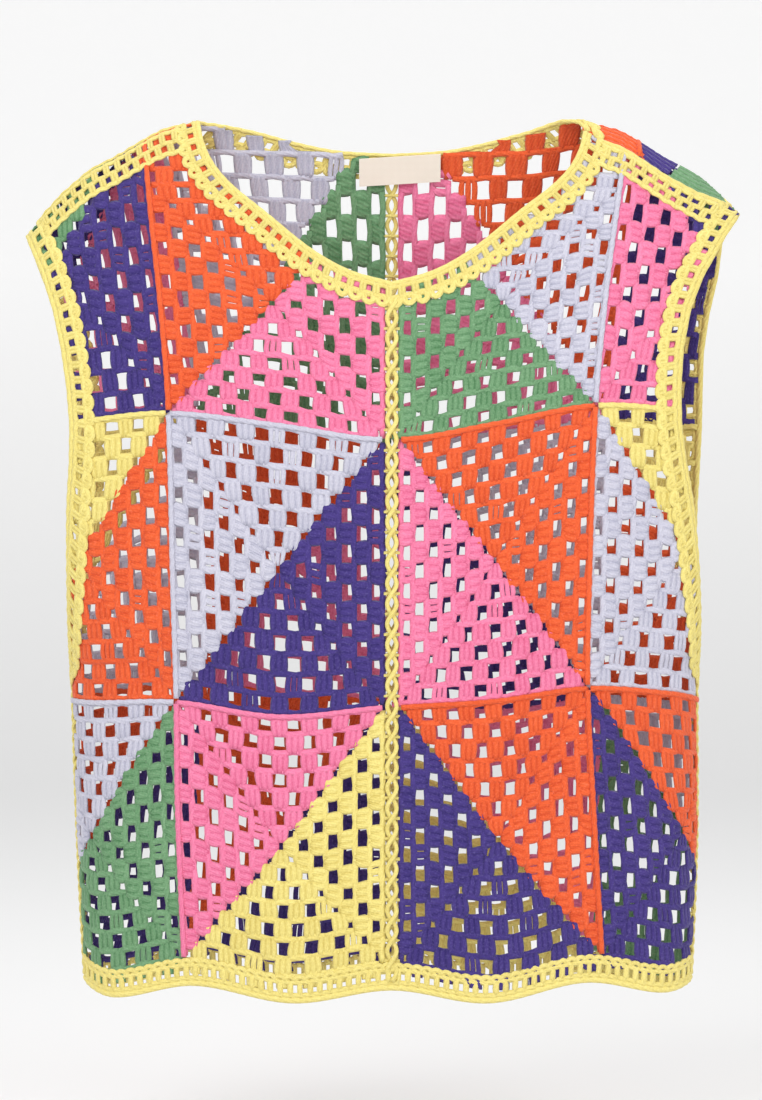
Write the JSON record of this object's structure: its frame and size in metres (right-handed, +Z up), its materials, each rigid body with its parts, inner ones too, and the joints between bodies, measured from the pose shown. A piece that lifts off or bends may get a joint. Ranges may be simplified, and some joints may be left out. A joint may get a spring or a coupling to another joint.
{
  "type": "openwork blouse",
  "caption": "Sleeveless openwork crochet blouse of two-colour granny squares with a scooped neck and a scalloped yellow edging, filled out as worn.",
  "frame": {"origin": "midway between the shoulders, level with the tops of the shoulders at the neck, where a wearer holds the garment up", "axes": "+Z up, -Y out of the garment's front, +X to the right as seen from the front"},
  "size_m": [0.47, 0.1359, 0.5758],
  "materials": {
    "orange_yarn": "matt",
    "pink_yarn": "matt",
    "navy_yarn": "matt",
    "lavender_yarn": "matt",
    "green_yarn": "matt",
    "yellow_yarn": "matt",
    "cream_woven": "matt"
  },
  "bodies": {
    "root": {"armhole_band_left": "yellow_yarn", "armhole_band_right": "yellow_yarn", "back_r1c1_green": "green_yarn", "back_r1c1_navy": "navy_yarn", "back_r1c2_orange": "orange_yarn", "back_r1c2_pink": "pink_yarn", "back_r1c3_green": "green_yarn", "back_r1c3_lavender": "lavender_yarn", "back_r1c4_navy": "navy_yarn", "back_r1c4_pink": "pink_yarn", "back_r2c1_orange": "orange_yarn", "back_r2c1_yellow": "yellow_yarn", "back_r2c2_lavender": "lavender_yarn", "back_r2c2_navy": "navy_yarn", "back_r2c3_orange": "orange_yarn", "back_r2c3_pink": "pink_yarn", "back_r2c4_lavender": "lavender_yarn", "back_r2c4_yellow": "yellow_yarn", "back_r3c1_green": "green_yarn", "back_r3c1_lavender": "lavender_yarn", "back_r3c2_pink": "pink_yarn", "back_r3c2_yellow": "yellow_yarn", "back_r3c3_navy": "navy_yarn", "back_r3c3_orange": "orange_yarn", "back_r3c4_navy": "navy_yarn", "back_r3c4_orange": "orange_yarn", "centre_chain_back": "yellow_yarn", "centre_chain_front": "yellow_yarn", "front_r1c1_green": "green_yarn", "front_r1c1_navy": "navy_yarn", "front_r1c2_orange": "orange_yarn", "front_r1c2_pink": "pink_yarn", "front_r1c3_green": "green_yarn", "front_r1c3_lavender": "lavender_yarn", "front_r1c4_navy": "navy_yarn", "front_r1c4_pink": "pink_yarn", "front_r2c1_orange": "orange_yarn", "front_r2c1_yellow": "yellow_yarn", "front_r2c2_lavender": "lavender_yarn", "front_r2c2_navy": "navy_yarn", "front_r2c3_orange": "orange_yarn", "front_r2c3_pink": "pink_yarn", "front_r2c4_lavender": "lavender_yarn", "front_r2c4_yellow": "yellow_yarn", "front_r3c1_green": "green_yarn", "front_r3c1_lavender": "lavender_yarn", "front_r3c2_pink": "pink_yarn", "front_r3c2_yellow": "yellow_yarn", "front_r3c3_navy": "navy_yarn", "front_r3c3_orange": "orange_yarn", "front_r3c4_navy": "navy_yarn", "front_r3c4_orange": "orange_yarn", "hem_band": "yellow_yarn", "neck_band_back": "yellow_yarn", "neck_band_front": "yellow_yarn", "neck_label": "cream_woven", "shoulder_band_left": "yellow_yarn", "shoulder_band_right": "yellow_yarn", "side_chain_left": "yellow_yarn", "side_chain_right": "yellow_yarn"}
  },
  "joints": []
}
